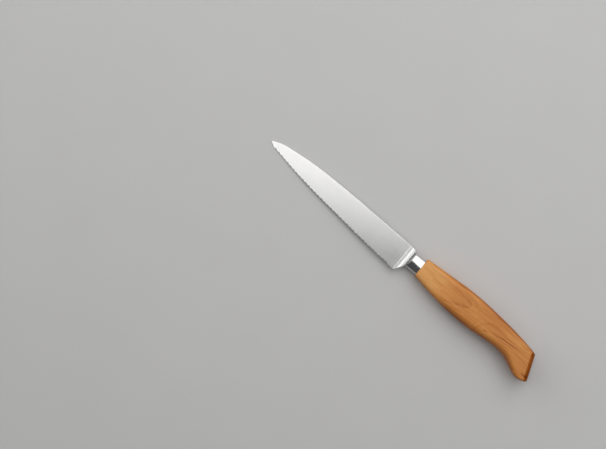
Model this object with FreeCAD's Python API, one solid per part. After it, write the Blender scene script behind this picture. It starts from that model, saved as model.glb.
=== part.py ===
import FreeCAD, Part
import math
import os

# A tomato knife lying on its side: a forged, serrated blade with an oval neck and a hidden tang,
# held between two wooden handle scales by an adhesive bed and two blind pins.
# Millimetres. X runs from the tip to the butt, Y from the edge to the spine, Z up out of the left face.
# Solids are made about the knife's middle plane, then lifted so that the handle's flat lies on Z = 0.
# The origin is on that flat, on the neck's axis, under the fullest part of the palm swell.

Vector = FreeCAD.Vector

# Blade outline; heights are above the neck's axis and depths below it
BLADE_LENGTH = 130.0  # from the tip to the flare's ridge
TIP_HEIGHT = 2.3
TIP_BEVEL_LENGTH = 4.2  # plain slanted edge at the tip, along X
TIP_BEVEL_DROP = 2.85  # how far that edge falls below the tip
CREST_HEIGHT = 9.2  # highest point of the spine
SPINE_HEIGHT = 7.6  # spine where it reaches the shoulder
HEEL_DEPTH = 13.3
HEEL_SETBACK = 4.9  # heel point ahead of the flare's ridge
HEEL_ROUND = 0.4
REAR_EDGE_TOP = 1.6  # depth at which the heel's rear edge runs into the neck
REAR_EDGE_BULGE = 0.5  # how far that edge bows out from a straight line
# Points between the ends of the spine and of the edge, as shares of the way along and across
SPINE_SHAPE = ((0.038, 0.32), (0.123, 0.645), (0.254, 0.906), (0.415, 1.0))
EDGE_SHAPE = ((0.205, 0.327), (0.561, 0.689), (0.925, 0.972))

# Blade thickness, ground to one flat plane on each side
SPINE_THICKNESS = 2.2
EDGE_THICKNESS = 0.3
TIP_THICKNESS = 0.5

# Serration, hollow ground into the right face only
SERRATION_PITCH = 3.2
SERRATION_DEPTH = 0.55
SERRATION_INSET = 0.25  # tooth points above the plain edge
SERRATION_ANGLE = 20.0  # grind against the blade's face, in degrees
PLAIN_TIP = 0.5  # plain edge behind the tip bevel
PLAIN_HEEL = 5.5  # plain edge ahead of the heel

# Neck and flare
NECK_LENGTH = 10.0  # from the flare's ridge to the handle
NECK_HEIGHT = 11.6
NECK_THICKNESS = 5.8
NECK_ROUND = 2.1  # radius of the neck above and below
FLARE_RADIUS = 5.4  # hollow that rises from the blade's face
FLARE_SLOPE = 50.0  # steepest part of the flare, in degrees
RIDGE_RADIUS = 1.8  # round ahead of the flare's ridge
BACK_RADIUS = 3.0  # round behind the ridge
BACK_LENGTH = 1.8  # from the ridge to the end of the flare
STOCK_ALLOWANCE = 1.0  # what the grind takes off the thickest part of the ridge
SHOULDER_SETBACK = 3.0  # start of the spine's step down to the neck, ahead of the ridge
SHOULDER_DROP = 0.5  # how far that step falls below the neck's top

# Tang, its adhesive bed and its pins
TANG_FRONT_HEIGHT = 10.6
TANG_FRONT_THICKNESS = 5.2
TANG_FRONT_ROUND = 1.9
TANG_REAR_HEIGHT = 5.6
TANG_REAR_THICKNESS = 3.2
TANG_REAR_ROUND = 1.2
TANG_DROP = 1.2  # middle of the tang's end below the axis
TANG_END_WALL = 44.0  # wood between the tang's end and the butt's lower corner
BEDDING_GAP = 0.15
PIN_DIAMETER = 3.0
PIN_CLEARANCE = 0.05
PIN_COVER = 3.6  # wood between a blind bore's floor and the handle's flat
PIN_END_GAP = 0.2
PIN_FRONT_STATION = 20.0  # behind the handle's front
PIN_REAR_SETBACK = 14.0  # ahead of the tang's end

# Handle outline; stations are measured from the handle's front or ahead of the butt's lower corner
HANDLE_LENGTH = 110.0
HANDLE_THICKNESS = 16.0  # over the two flats
FLAT_DEPTH = 0.4  # how much each side would swell past its flat
FRONT_THICKNESS = 10.4
FRONT_TOP = 8.1
FRONT_BELLY = 7.0
FRONT_ROUND = 3.2
FRONT_EDGE_ROUND = 1.0
THROAT_STATION = 20.0
THROAT_THICKNESS = 14.6
THROAT_TOP = 9.4
THROAT_BELLY = 10.3
THROAT_ROUND = 4.2
PALM_STATION = 40.0
PALM_TOP = 10.5
PALM_BELLY = 12.1
LOIN_TOP = 9.9  # midway between the palm swell and the waist
LOIN_BELLY = 11.6
WAIST_SETBACK = 34.0
WAIST_TOP = 8.4
WAIST_BELLY = 10.1
TURN_SETBACK = 21.0
TURN_TOP = 6.75
TURN_BELLY = 12.5
BEAK_SETBACK = 7.8
BEAK_TOP = 4.2
BEAK_BELLY = 17.4
TAIL_LENGTH = 4.0  # handle blank past the butt's lower corner, cut off by the butt
TAIL_TOP = 0.9
TAIL_BELLY = 12.0
SPINE_ROUND = 4.5
BELLY_ROUND = 6.5
BUTT_ROUND = 3.6
HANDLE_SECTIONS = 32
FRONT_EDGE_STEPS = 3  # flats that make up the round of the front edge
BUTT_CORNER_DEPTH = 15.1
BUTT_SLANT = 21.8  # butt against the handle's cross-section, in degrees
BUTT_CROWN = 10.0  # radius of the butt across the handle's thickness

# Places along X
HANDLE_FRONT = -PALM_STATION
RIDGE = HANDLE_FRONT - NECK_LENGTH
TIP = RIDGE - BLADE_LENGTH
HEEL = RIDGE - HEEL_SETBACK
FLARE_START = RIDGE - (FLARE_RADIUS + RIDGE_RADIUS) * math.sin(math.radians(FLARE_SLOPE))
FLARE_END = RIDGE + BACK_LENGTH
BUTT = HANDLE_FRONT + HANDLE_LENGTH
TANG_END = BUTT - TANG_END_WALL
PIN_STATIONS = {
    "front": HANDLE_FRONT + PIN_FRONT_STATION,
    "rear": TANG_END - PIN_REAR_SETBACK,
}
FLARE_RISE = (FLARE_RADIUS + RIDGE_RADIUS) * (1 - math.cos(math.radians(FLARE_SLOPE)))
REACH = BLADE_LENGTH + NECK_LENGTH + HANDLE_LENGTH  # longer than any cut


def line(start, end):
    return Part.LineSegment(start, end).toShape()


def arc(start, middle, end):
    return Part.Arc(start, middle, end).toShape()


def spline(points):
    curve = Part.BSplineCurve()
    curve.interpolate(points)
    return curve


def prism(edges, thickness):
    """A flat outline, as thick as asked, with the middle plane through its middle."""
    face = Part.Face(Part.Wire(edges))
    face.translate(Vector(0, 0, -thickness / 2))
    return face.extrude(Vector(0, 0, thickness))


def mirrored(shape):
    """The same shape on the other side of the middle plane."""
    return shape.mirror(Vector(0, 0, 0), Vector(0, 0, 1))


# Blade


def spine_curve():
    rise = CREST_HEIGHT - TIP_HEIGHT
    points = [Vector(TIP, TIP_HEIGHT, 0)]
    for along, up in SPINE_SHAPE:
        points.append(Vector(TIP + along * BLADE_LENGTH, TIP_HEIGHT + up * rise, 0))
    points.append(Vector(RIDGE - SHOULDER_SETBACK, SPINE_HEIGHT, 0))
    return spline(points)


def edge_curve():
    start = Vector(TIP + TIP_BEVEL_LENGTH, TIP_HEIGHT - TIP_BEVEL_DROP, 0)
    heel = Vector(HEEL, -HEEL_DEPTH, 0)
    way = heel - start
    points = [start]
    for along, down in EDGE_SHAPE:
        points.append(start + Vector(along * way.x, down * way.y, 0))
    points.append(heel)
    return spline(points)


def face_plane():
    """Half thickness of the ground blade, as a height and its slopes along X and Y."""
    spine = Vector(FLARE_START, SPINE_HEIGHT, SPINE_THICKNESS / 2)
    heel = Vector(HEEL, -HEEL_DEPTH, EDGE_THICKNESS / 2)
    tip = Vector(TIP, TIP_HEIGHT, TIP_THICKNESS / 2)
    normal = (heel - spine).cross(tip - spine)
    slope_x = -normal.x / normal.z
    slope_y = -normal.y / normal.z
    return spine.z - slope_x * spine.x - slope_y * spine.y, slope_x, slope_y


def half_thickness(x, y):
    height, slope_x, slope_y = face_plane()
    return height + slope_x * x + slope_y * y


def blade_plate():
    """The blade's outline, thicker than the flare, before it is ground."""
    spine = spine_curve()
    edge = edge_curve()
    shoulder = spine.EndPoint
    tip = spine.StartPoint
    neck_top = Vector(FLARE_END, NECK_HEIGHT / 2 - SHOULDER_DROP, 0)
    step = neck_top - shoulder
    brow = shoulder + Vector(step.x * math.sqrt(0.5), step.y * (1 - math.sqrt(0.5)), 0)
    neck_low = Vector(FLARE_END, -REAR_EDGE_TOP, 0)
    heel = edge.EndPoint
    across = neck_low - heel
    bulge = Vector(across.y, -across.x, 0).normalize() * REAR_EDGE_BULGE
    plate = prism(
        [
            spine.toShape(),
            arc(shoulder, brow, neck_top),
            line(neck_top, neck_low),
            arc(neck_low, heel + across * 0.5 + bulge, heel),
            edge.toShape(),
            line(edge.StartPoint, tip),
        ],
        SPINE_THICKNESS + 2 * FLARE_RISE + STOCK_ALLOWANCE,
    )
    corner = min(plate.Edges, key=lambda item: item.CenterOfMass.distanceToPoint(heel))
    return plate.makeFillet(HEEL_ROUND, [corner])


def oval(centre, height, thickness, end_round):
    """An oval across the knife: two flat arcs at its sides that run into a round at each end."""
    half = thickness / 2
    reach = height / 2 - end_round
    side_radius = (reach**2 + half**2 - end_round**2) / (2 * (half - end_round))
    turn = math.atan2(reach, side_radius - half)
    y = reach + end_round * math.sin(turn)
    z = end_round * math.cos(turn)
    rim = [
        Vector(0, y, z),
        Vector(0, height / 2, 0),
        Vector(0, y, -z),
        Vector(0, 0, -half),
        Vector(0, -y, -z),
        Vector(0, -height / 2, 0),
        Vector(0, -y, z),
        Vector(0, 0, half),
        Vector(0, y, z),
    ]
    rim = [centre + point for point in rim]
    return Part.Wire([arc(*rim[index : index + 3]) for index in range(0, len(rim) - 1, 2)])


def neck(start):
    """The oval neck, from a place under the flare to the handle."""
    section = oval(Vector(start, 0, 0), NECK_HEIGHT, NECK_THICKNESS, NECK_ROUND)
    return Part.Face(section).extrude(Vector(HANDLE_FRONT - start, 0, 0))


def grind():
    """What the wheel takes off the left side: a flat face, the flare's hollow and its rounded ridge."""
    slope_y = face_plane()[2]
    front = TIP - REACH
    low = -REACH
    level = half_thickness(FLARE_START, low)
    crest = level + FLARE_RISE
    top = level + REACH * 2
    slope = math.radians(FLARE_SLOPE)
    fall = math.asin(BACK_LENGTH / BACK_RADIUS)

    def hollow(turn):
        rise = FLARE_RADIUS * (1 - math.cos(turn))
        return Vector(FLARE_START + FLARE_RADIUS * math.sin(turn), low, level + rise)

    def ridge(radius, turn):
        sag = radius * (1 - math.cos(turn))
        return Vector(RIDGE + radius * math.sin(turn), low, crest - sag)

    end = ridge(BACK_RADIUS, fall)
    end_top = Vector(end.x, low, top)
    front_top = Vector(front, low, top)
    front_face = Vector(front, low, half_thickness(front, low))
    outline = [
        arc(hollow(0), hollow(slope / 2), hollow(slope)),
        arc(hollow(slope), ridge(RIDGE_RADIUS, -slope / 2), ridge(RIDGE_RADIUS, 0)),
        arc(ridge(BACK_RADIUS, 0), ridge(BACK_RADIUS, fall / 2), end),
        line(end, end_top),
        line(end_top, front_top),
        line(front_top, front_face),
        line(front_face, hollow(0)),
    ]
    return Part.Face(Part.Wire(outline)).extrude(Vector(0, 2 * REACH, 2 * REACH * slope_y))


def serration_wheels():
    """One slanted cylinder for each scallop, spaced evenly along the edge."""
    edge = edge_curve()
    length = edge.length() - PLAIN_TIP - PLAIN_HEEL
    count = int(length / SERRATION_PITCH)
    slant = math.radians(SERRATION_ANGLE)
    drop = SERRATION_DEPTH * math.sin(slant)
    radius = ((SERRATION_PITCH / 2) ** 2 + drop**2) / (2 * drop)
    wheels = []
    for index in range(count):
        place = edge.parameterAtDistance(PLAIN_TIP + (index + 0.5) * length / count)
        along = edge.tangent(place)[0]
        inward = Vector(-along.y, along.x, 0)
        apex = edge.value(place) + inward * (SERRATION_INSET + SERRATION_DEPTH)
        apex.z = half_thickness(apex.x, apex.y)
        axis = inward * math.cos(slant) - Vector(0, 0, 1) * math.sin(slant)
        below = inward * -math.sin(slant) - Vector(0, 0, 1) * math.cos(slant)
        start = apex + below * radius - axis * radius
        wheels.append(Part.makeCylinder(radius, 2 * radius, start, axis))
    return wheels


def tang(grow):
    """The tapered oval tang behind the neck, or its pocket when it is grown by a gap."""
    front = oval(
        Vector(HANDLE_FRONT, 0, 0),
        TANG_FRONT_HEIGHT + 2 * grow,
        TANG_FRONT_THICKNESS + 2 * grow,
        TANG_FRONT_ROUND + grow,
    )
    rear = oval(
        Vector(TANG_END + grow, -TANG_DROP, 0),
        TANG_REAR_HEIGHT + 2 * grow,
        TANG_REAR_THICKNESS + 2 * grow,
        TANG_REAR_ROUND + grow,
    )
    return Part.makeLoft([front, rear], True, True)


def pin(station, clearance, end_gap):
    """A pin across the handle, or its bore when a clearance and an end gap are given."""
    length = HANDLE_THICKNESS - 2 * PIN_COVER - 2 * PIN_END_GAP + 2 * end_gap
    middle = tang_middle(station)
    start = Vector(station, middle, -length / 2)
    return Part.makeCylinder(PIN_DIAMETER / 2 + clearance, length, start)


def tang_middle(x):
    """Height of the tang's middle line, which falls from the handle's front to the tang's end."""
    return -TANG_DROP * (x - HANDLE_FRONT) / (TANG_END - HANDLE_FRONT)


def pin_bores():
    return [pin(station, PIN_CLEARANCE, PIN_END_GAP) for station in PIN_STATIONS.values()]


def blade():
    cutter = grind()
    body = blade_plate().fuse(neck(FLARE_START)).cut(cutter).cut(mirrored(cutter)).fuse(neck(RIDGE))
    for wheel in serration_wheels():
        body = body.cut(wheel)
    body = body.fuse(tang(0.0))
    return body.cut(pin_bores()).removeSplitter()


# Handle


def handle_section(x, top, belly, thickness, top_round, belly_round):
    """A slab across the handle with two round corners at the spine and two at the belly."""
    half = thickness / 2
    bend = 1 - math.sqrt(0.5)

    def side(sign):
        return [
            Vector(x, top, sign * (half - top_round)),
            Vector(x, top - top_round * bend, sign * (half - top_round * bend)),
            Vector(x, top - top_round, sign * half),
            Vector(x, -belly + belly_round, sign * half),
            Vector(x, -belly + belly_round * bend, sign * (half - belly_round * bend)),
            Vector(x, -belly, sign * (half - belly_round)),
        ]

    left = side(1)
    right = side(-1)
    return Part.Wire(
        [
            line(right[0], left[0]),
            arc(*left[0:3]),
            line(left[2], left[3]),
            arc(*left[3:6]),
            line(left[5], right[5]),
            arc(*right[5:2:-1]),
            line(right[3], right[2]),
            arc(*right[2::-1]),
        ]
    )


def handle_stations():
    """Place, top, belly, thickness, spine round and belly round of each station along the handle."""
    full = HANDLE_THICKNESS + 2 * FLAT_DEPTH
    throat = HANDLE_FRONT + THROAT_STATION
    palm = HANDLE_FRONT + PALM_STATION
    waist = BUTT - WAIST_SETBACK
    return [
        (HANDLE_FRONT, FRONT_TOP, FRONT_BELLY, FRONT_THICKNESS, FRONT_ROUND, FRONT_ROUND),
        (throat, THROAT_TOP, THROAT_BELLY, THROAT_THICKNESS, THROAT_ROUND, THROAT_ROUND),
        (palm, PALM_TOP, PALM_BELLY, full, SPINE_ROUND, BELLY_ROUND),
        ((palm + waist) / 2, LOIN_TOP, LOIN_BELLY, full, SPINE_ROUND, BELLY_ROUND),
        (waist, WAIST_TOP, WAIST_BELLY, full, SPINE_ROUND, BELLY_ROUND),
        (BUTT - TURN_SETBACK, TURN_TOP, TURN_BELLY, full, BUTT_ROUND, BELLY_ROUND),
        (BUTT - BEAK_SETBACK, BEAK_TOP, BEAK_BELLY, full, BUTT_ROUND, BUTT_ROUND),
        (BUTT + TAIL_LENGTH, TAIL_TOP, TAIL_BELLY, full, BUTT_ROUND, BUTT_ROUND),
    ]


def handle_blank():
    """The handle before its flats and butt are cut: straight runs between close, faired sections."""
    stations = handle_stations()
    places = [station[0] for station in stations]
    fairings = []
    for values in list(zip(*stations))[1:]:
        curve = Part.BSplineCurve()
        curve.interpolate(Points=[Vector(x, y, 0) for x, y in zip(places, values)], Parameters=places)
        fairings.append(curve)

    def section(x, inset):
        top, belly, thickness, top_round, belly_round = [curve.value(x).y for curve in fairings]
        return handle_section(
            x, top - inset, belly - inset, thickness - 2 * inset, top_round - inset, belly_round - inset
        )

    sections = []
    front = HANDLE_FRONT + FRONT_EDGE_ROUND
    for index in range(FRONT_EDGE_STEPS):
        turn = index * math.pi / 2 / FRONT_EDGE_STEPS
        inset = FRONT_EDGE_ROUND * (1 - math.sin(turn))
        sections.append(section(front - FRONT_EDGE_ROUND * math.cos(turn), inset))
    for index in range(HANDLE_SECTIONS):
        sections.append(section(front + (places[-1] - front) * index / (HANDLE_SECTIONS - 1), 0.0))
    return Part.makeLoft(sections, True, True)


def butt_keep():
    """All that lies ahead of the slanted butt, which is crowned across the handle."""
    slant = math.radians(BUTT_SLANT)
    outward = Vector(math.cos(slant), math.sin(slant), 0)
    down = Vector(math.sin(slant), -math.cos(slant), 0)
    crown = Vector(BUTT, -BUTT_CORNER_DEPTH, 0) - down * REACH / 2
    centre = crown - outward * BUTT_CROWN
    far = crown - outward * REACH
    rise = Vector(0, 0, BUTT_CROWN)
    up = Vector(0, 0, REACH)
    outline = [
        arc(centre - rise, crown, centre + rise),
        line(centre + rise, centre + up),
        line(centre + up, far + up),
        line(far + up, far - up),
        line(far - up, centre - up),
        line(centre - up, centre - rise),
    ]
    return Part.Face(Part.Wire(outline)).extrude(down * REACH)


def handle_scale():
    """The left scale: half of the handle, with its flat, its butt, the tang's pocket and blind bores."""
    half_space = Part.makeBox(REACH, REACH, HANDLE_THICKNESS / 2, Vector(HANDLE_FRONT, -REACH / 2, 0))
    scale = handle_blank().common(half_space).common(butt_keep())
    return scale.cut([tang(BEDDING_GAP)] + pin_bores())


def tang_bedding():
    bed = tang(BEDDING_GAP)
    return bed.cut([tang(0.0)] + pin_bores())


def main():
    left = handle_scale()
    pieces = {
        "blade": blade(),
        "handle_scale_left": left,
        "handle_scale_right": mirrored(left),
        "tang_bedding": tang_bedding(),
    }
    for name, station in PIN_STATIONS.items():
        pieces["tang_pin_" + name] = pin(station, 0.0, 0.0)
    os.makedirs("parts", exist_ok=True)
    for node, shape in pieces.items():
        shape.translate(Vector(0, 0, HANDLE_THICKNESS / 2))
        state = "valid" if shape.isValid() else "INVALID"
        print(node, state, len(shape.Solids), "solid", round(shape.Volume, 2), "mm3")
        shape.exportStep("parts/" + node + ".step")


main()
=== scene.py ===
"""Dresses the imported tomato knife.

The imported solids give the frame. The forged blade and the two wooden handle scales are modelled again with
finer surfaces and stand for their nodes; the hidden bedding and pins keep their nodes and get a finish.
Metres, in the part's own frame: X from tip to butt, Y from edge to spine, Z up out of the left face.
"""

import logging
import math
from collections.abc import Callable, Iterator, Sequence
from contextlib import contextmanager
from dataclasses import asdict, dataclass, fields
from enum import Enum

import bmesh
import bpy
import numpy as np
from mathutils import Matrix, Vector


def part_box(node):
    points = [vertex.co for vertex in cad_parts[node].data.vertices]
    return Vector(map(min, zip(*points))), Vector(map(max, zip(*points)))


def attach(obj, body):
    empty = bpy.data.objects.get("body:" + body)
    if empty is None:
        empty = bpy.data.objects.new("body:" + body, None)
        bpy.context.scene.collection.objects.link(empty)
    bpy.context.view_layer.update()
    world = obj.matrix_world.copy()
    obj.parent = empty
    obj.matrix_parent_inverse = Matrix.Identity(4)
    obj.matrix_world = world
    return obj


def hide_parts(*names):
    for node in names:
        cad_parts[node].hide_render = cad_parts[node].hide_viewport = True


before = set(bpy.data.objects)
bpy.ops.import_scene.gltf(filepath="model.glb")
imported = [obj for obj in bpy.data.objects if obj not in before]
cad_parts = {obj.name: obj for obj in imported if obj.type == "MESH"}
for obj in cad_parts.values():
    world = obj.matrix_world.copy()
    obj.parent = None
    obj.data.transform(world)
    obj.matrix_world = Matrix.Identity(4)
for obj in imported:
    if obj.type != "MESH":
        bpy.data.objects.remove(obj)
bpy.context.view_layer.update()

LOG = logging.getLogger("tomato_knife")
BODY = "root"
MM = 0.001
REACH = 0.3  # longer than any cut
NEAR = 0.01 * MM  # points closer than this are in the same place
ON_FACE = 0.02 * MM  # a point this close to a face lies on it
UPRIGHT = 0.02  # the normal of an upright face points to a side by less than this
SLOPED = 0.1  # the normal of a ground face points to a side by more than this
ENDWAYS = 0.99  # the normal of an end face points along the knife by at least this
NOISE_MIDDLE = 0.5  # what the noise texture gives on average
OPAQUE = 1.0

Piece = bpy.types.Object
Finish = bpy.types.Material
Tree = bpy.types.NodeTree
Socket = bpy.types.NodeSocket
Value = Socket | float
Edge = bmesh.types.BMEdge
Span = tuple[float, float]
Marks = tuple[Span, ...]
Triple = tuple[float, float, float]
Colour = Triple


class Join(Enum):
    """What a tool solid does to a piece."""

    ADD = "UNION"
    CUT = "DIFFERENCE"


class Side(Enum):
    """The two sides of the knife's middle plane."""

    LEFT = 1
    RIGHT = -1


# Modelling by hand


def pick(piece: Piece) -> None:
    """Makes one piece the only selected and active one.

    Args:
        piece: The piece to pick.
    """
    bpy.ops.object.select_all(action="DESELECT")
    piece.select_set(True)
    bpy.context.view_layer.objects.active = piece


def add(operator: Callable, **settings: object) -> Piece:
    """Adds a primitive, a light or a camera, with nothing else selected.

    Args:
        operator: The operator that adds it.
        settings: Its sizes and its place.

    Returns:
        The new object.
    """
    bpy.ops.object.select_all(action="DESELECT")
    operator(**settings)
    return bpy.context.object


@contextmanager
def editing(piece: Piece) -> Iterator[bmesh.types.BMesh]:
    """Opens a piece in edit mode, with nothing selected.

    Args:
        piece: The mesh object to edit.

    Yields:
        The mesh that is being edited.
    """
    pick(piece)
    bpy.ops.object.mode_set(mode="EDIT")
    bpy.ops.mesh.select_all(action="DESELECT")
    mesh = bmesh.from_edit_mesh(piece.data)
    yield mesh
    bmesh.update_edit_mesh(piece.data)
    bpy.ops.object.mode_set(mode="OBJECT")


def add_ring(name: str, outline: Sequence[Vector]) -> Piece:
    """Adds a filled ring and pulls its points onto an outline.

    Args:
        name: The new object's name.
        outline: The outline's points, in order.

    Returns:
        The ring, a single flat face.
    """
    ring = add(bpy.ops.mesh.primitive_circle_add, vertices=len(outline), fill_type="NGON")
    ring.name = name
    for vertex, place in zip(ring.data.vertices, outline):
        vertex.co = place
    return ring


def face_outwards() -> None:
    """Turns all faces of the piece that is being edited outwards."""
    bpy.ops.mesh.select_all(action="SELECT")
    bpy.ops.mesh.normals_make_consistent(inside=False)


def ease_edges(piece: Piece, wanted: Callable[[Edge], bool], width: float, steps: int) -> None:
    """Bevels the edges that a test picks out.

    Args:
        piece: The piece to ease.
        wanted: Says for an edge whether it is eased.
        width: Width of the bevel.
        steps: Number of faces across it.
    """
    with editing(piece) as mesh:
        for edge in filter(wanted, mesh.edges):
            edge.select_set(True)
        bpy.ops.mesh.bevel(offset=width, segments=steps, affect="EDGES")


def draw_ring(mesh: bmesh.types.BMesh, outline: Sequence[Vector]) -> list[bmesh.types.BMVert]:
    """Extrudes the selected face and pulls its points onto the next outline.

    Args:
        mesh: The mesh that is being edited, with one face selected.
        outline: The points of the next ring, in the order of the face's first ring.

    Returns:
        The new ring.
    """
    face = next(face for face in mesh.faces if face.select)
    ring = sorted(face.verts, key=lambda vertex: vertex.index)
    bpy.ops.mesh.extrude_region_move()
    moved = []
    for vertex in ring:
        ahead = [edge.other_vert(vertex) for edge in vertex.link_edges]
        moved.append(next(other for other in ahead if other.select))
    for vertex, place in zip(moved, outline):
        vertex.co = place
    return moved


def draw_rings(name: str, outlines: Sequence[Sequence[Vector]]) -> Piece:
    """Draws a filled ring out into a closed solid, from outline to outline.

    Args:
        name: The new object's name.
        outlines: Outlines with the same number of points, in order.

    Returns:
        The solid.
    """
    piece = add_ring(name, outlines[0])
    with editing(piece) as mesh:
        bpy.ops.mesh.select_all(action="SELECT")
        for outline in outlines[1:]:
            draw_ring(mesh, outline)
        face_outwards()
    return piece


def modify(piece: Piece, kind: str, **settings: object) -> None:
    """Adds a modifier to a piece and applies it.

    Args:
        piece: The piece to change.
        kind: The modifier's type.
        settings: The modifier's properties.
    """
    pick(piece)
    bpy.ops.object.modifier_add(type=kind)
    modifier = piece.modifiers[-1]
    for name, value in settings.items():
        setattr(modifier, name, value)
    bpy.ops.object.modifier_apply(modifier=modifier.name)


def work(piece: Piece, tool: Piece, join: Join) -> None:
    """Adds a tool solid to a piece or cuts it away, and leaves the tool as it is."""
    modify(piece, "BOOLEAN", operation=join.value, solver="MANIFOLD", material_mode="TRANSFER", object=tool)


def work_once(piece: Piece, tool: Piece, join: Join) -> None:
    """Adds a tool solid to a piece or cuts it away, and removes the tool."""
    work(piece, tool, join)
    bpy.data.objects.remove(tool)


def give(piece: Piece, *finishes: Finish) -> None:
    """Puts finishes in a piece's slots.

    Args:
        piece: The piece to finish.
        finishes: Its materials, in order.
    """
    piece.data.materials.clear()
    for finish in finishes:
        piece.data.materials.append(finish)


def smooth(piece: Piece, angle: float) -> None:
    """Shades a piece smooth up to an angle, with its flat faces kept flat.

    Args:
        piece: The piece to shade.
        angle: The steepest edge that is still smooth, in degrees.
    """
    pick(piece)
    bpy.ops.object.shade_smooth_by_angle(angle=math.radians(angle))
    modify(piece, "WEIGHTED_NORMAL", keep_sharp=True)


def lift(piece: Piece, height: float) -> None:
    """Raises a finished mesh from the middle plane to its place, with its object left at the origin.

    Args:
        piece: The finished piece.
        height: Height of the middle plane.
    """
    with editing(piece):
        bpy.ops.mesh.select_all(action="SELECT")
        bpy.ops.transform.translate(value=(0, 0, height))


def stand_for(piece: Piece, node: str) -> None:
    """Lets a new piece ride on the knife and stand for a node.

    Args:
        piece: The new piece.
        node: The node that it stands for.
    """
    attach(piece, BODY)
    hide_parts(node)


def arc(centre: Span, radius: float, turns: Sequence[float]) -> list[Span]:
    """Gives points on an arc, at turns from the second axis towards the first."""
    return [(centre[0] + radius * math.sin(turn), centre[1] + radius * math.cos(turn)) for turn in turns]


class Fairing:
    """A smooth curve through a few marks, like a thin batten that is free at its ends."""

    def __init__(self, marks: Sequence[Span]) -> None:
        """Bends the batten.

        Args:
            marks: Places and heights, in order of place.
        """
        self.places, self.heights = (np.array(column) for column in zip(*marks))
        gaps = np.diff(self.places)
        rises = np.diff(self.heights) / gaps
        system = np.eye(len(self.places))
        load = np.zeros(len(self.places))
        for index in range(1, len(self.places) - 1):
            before, after = gaps[index - 1], gaps[index]
            system[index, index - 1 : index + 2] = before, 2 * (before + after), after
            load[index] = 6 * (rises[index] - rises[index - 1])
        self.bends = np.linalg.solve(system, load)

    def at(self, place: float) -> float:
        """Gives the curve's height.

        Args:
            place: Where along the batten.

        Returns:
            The height there.
        """
        index = int(np.clip(np.searchsorted(self.places, place) - 1, 0, len(self.places) - 2))
        gap = self.places[index + 1] - self.places[index]
        far = (self.places[index + 1] - place) / gap
        near = 1 - far
        bent = (far**3 - far) * self.bends[index] + (near**3 - near) * self.bends[index + 1]
        return float(far * self.heights[index] + near * self.heights[index + 1] + bent * gap**2 / 6)


# Finishes


@dataclass(frozen=True)
class Grain:
    """One layer of noise."""

    scale: Triple | Socket  # patches per millimetre along X, Y and Z
    detail: float  # number of finer layers
    roughness: float = 0.5  # strength of the finer layers
    strength: float = 1.0  # how much it adds


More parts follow.
